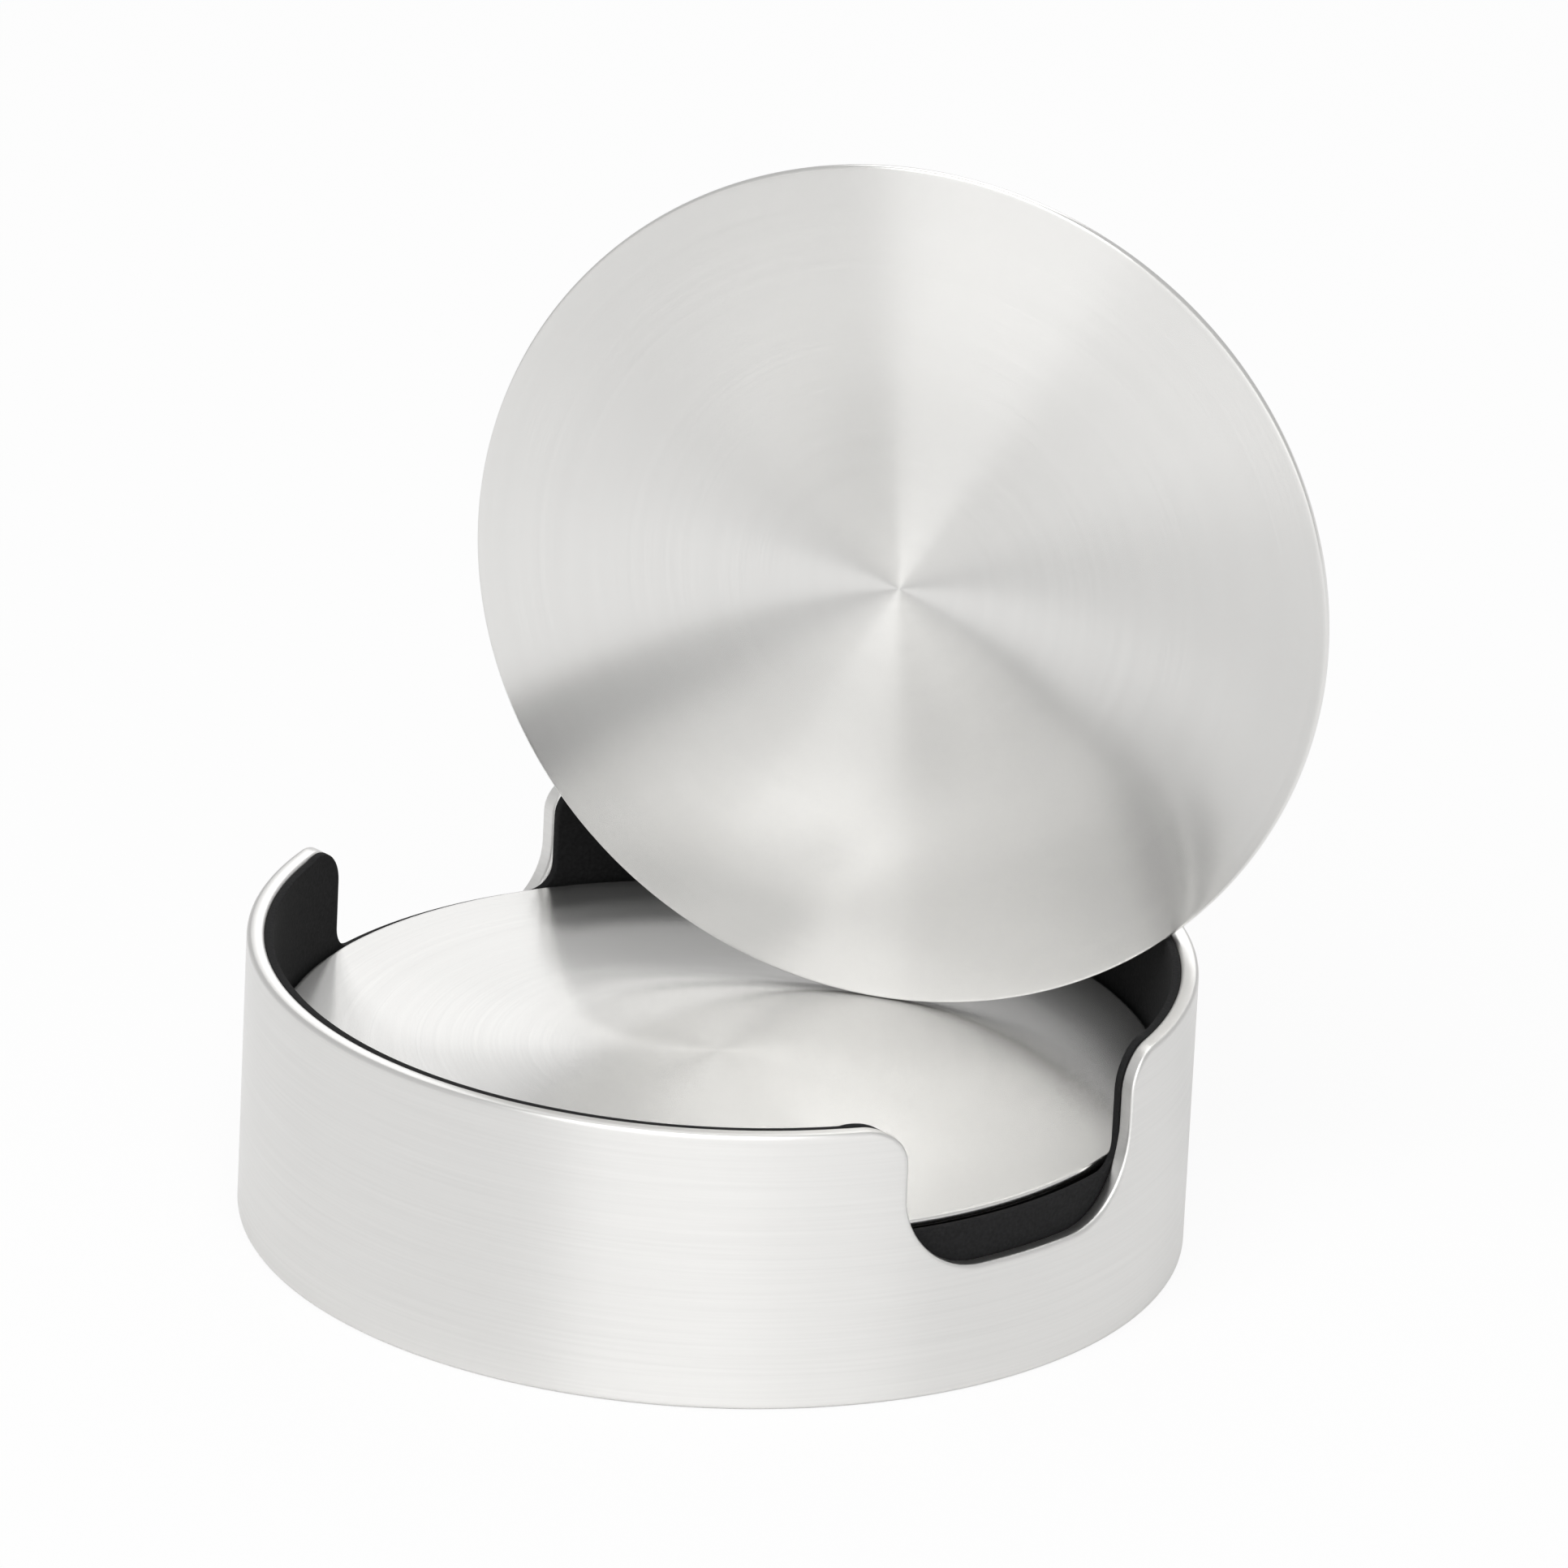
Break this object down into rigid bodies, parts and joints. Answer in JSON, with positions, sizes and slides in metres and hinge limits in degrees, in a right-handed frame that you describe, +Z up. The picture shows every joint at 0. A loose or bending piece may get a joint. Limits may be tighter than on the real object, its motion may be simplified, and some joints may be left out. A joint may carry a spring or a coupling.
{
  "type": "drinks coaster set with holder",
  "caption": "Round steel coasters with black pads, stacked in a lined steel ring holder with finger notches in its lip, the topmost coaster stood on edge on the stack.",
  "frame": {"origin": "centre of the holder's foot, on the table", "axes": "+Z up along the holder's axis, the two finger notches face -Y and +Y"},
  "size_m": [0.105, 0.105, 0.1178],
  "materials": {
    "brushed_steel": "satin brushed stainless steel",
    "turned_steel": "stainless steel with a fine concentric turned finish",
    "black_foam": "matte closed-cell black foam",
    "base_rubber": "matte non-slip rubber"
  },
  "bodies": {
    "holder": {"wall_ring": "brushed_steel", "base_disc": "brushed_steel", "wall_lining": "black_foam", "floor_lining": "black_foam", "base_pad": "base_rubber"},
    "coaster_1": {"coaster_1_plate": "turned_steel", "coaster_1_pad": "black_foam"},
    "coaster_2": {"coaster_2_plate": "turned_steel", "coaster_2_pad": "black_foam"},
    "coaster_3": {"coaster_3_plate": "turned_steel", "coaster_3_pad": "black_foam"},
    "coaster_4": {"coaster_4_plate": "turned_steel", "coaster_4_pad": "black_foam"},
    "coaster_5": {"coaster_5_plate": "turned_steel", "coaster_5_pad": "black_foam"},
    "coaster_6": {"coaster_6_plate": "turned_steel", "coaster_6_pad": "black_foam"}
  },
  "joints": [
    {"name": "coaster_1_lift", "type": "slide", "parent": "holder", "child": "coaster_1", "axis": [0, 0, 1], "range_m": [0, 0.035]},
    {"name": "coaster_2_lift", "type": "slide", "parent": "coaster_1", "child": "coaster_2", "axis": [0, 0, 1], "range_m": [0, 0.035]},
    {"name": "coaster_3_lift", "type": "slide", "parent": "coaster_2", "child": "coaster_3", "axis": [0, 0, 1], "range_m": [0, 0.035]},
    {"name": "coaster_4_lift", "type": "slide", "parent": "coaster_3", "child": "coaster_4", "axis": [0, 0, 1], "range_m": [0, 0.035]},
    {"name": "coaster_5_lift", "type": "slide", "parent": "coaster_4", "child": "coaster_5", "axis": [0, 0, 1], "range_m": [0, 0.035]},
    {"name": "coaster_6_lift", "type": "slide", "parent": "coaster_5", "child": "coaster_6", "axis": [0, 0, 1], "range_m": [0, 0.035]}
  ]
}
